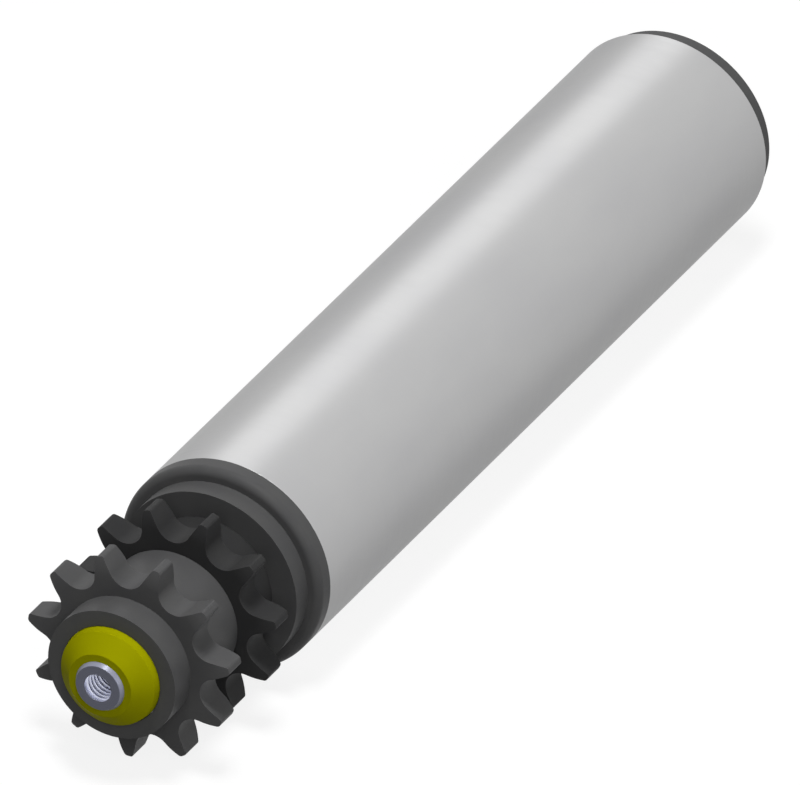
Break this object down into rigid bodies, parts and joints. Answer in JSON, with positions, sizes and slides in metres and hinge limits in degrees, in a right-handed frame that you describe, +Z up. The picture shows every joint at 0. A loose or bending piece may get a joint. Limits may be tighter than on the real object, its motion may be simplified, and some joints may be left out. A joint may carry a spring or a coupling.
{
  "type": "conveyor roller",
  "caption": "Driven conveyor roller: steel tube with a moulded double chain sprocket head, on a fixed shaft tapped at both ends.",
  "frame": {"origin": "centre of the shaft's end face at the sprocket end, where the side frame's screw enters", "axes": "+X along the shaft from the sprocket end to the idle end, +Z up through a tooth gap"},
  "size_m": [0.2792, 0.05, 0.05],
  "materials": {
    "tube_steel": "zinc plated, satin",
    "shaft_steel": "drawn bright steel",
    "charcoal_plastic": "moulded polyamide, satin",
    "black_plastic": "moulded polyamide, satin",
    "yellow_plastic": "moulded, soft gloss",
    "bearing_steel": "ground",
    "shield_steel": "pressed sheet",
    "cage_plastic": "moulded polyamide",
    "spring_steel": "phosphated"
  },
  "bodies": {
    "axle": {"shaft": "shaft_steel", "drive_seal": "yellow_plastic", "idle_seal": "yellow_plastic", "drive_bearing_inner_ring": "bearing_steel", "idle_bearing_inner_ring": "bearing_steel", "drive_circlip": "spring_steel", "idle_circlip": "spring_steel"},
    "roller": {"tube": "tube_steel", "drive_housing": "charcoal_plastic", "rear_sprocket": "black_plastic", "front_sprocket": "charcoal_plastic", "idle_housing": "charcoal_plastic", "drive_bearing_outer_ring": "bearing_steel", "drive_bearing_front_shield": "shield_steel", "drive_bearing_back_shield": "shield_steel", "idle_bearing_outer_ring": "bearing_steel", "idle_bearing_front_shield": "shield_steel", "idle_bearing_back_shield": "shield_steel"},
    "ball_cages": {"drive_bearing_cage": "cage_plastic", "idle_bearing_cage": "cage_plastic", "bearing_balls": "bearing_steel"}
  },
  "joints": [
    {"name": "roller_spin", "type": "hinge", "parent": "axle", "child": "roller", "pos_m": [0, 0, 0], "axis": [1, 0, 0], "continuous": true},
    {"name": "cage_spin", "type": "hinge", "parent": "axle", "child": "ball_cages", "pos_m": [0, 0, 0], "axis": [1, 0, 0], "continuous": true}
  ],
  "couplings": [
    {"joint": "cage_spin", "follows": "roller_spin", "ratio": 0.58819}
  ]
}
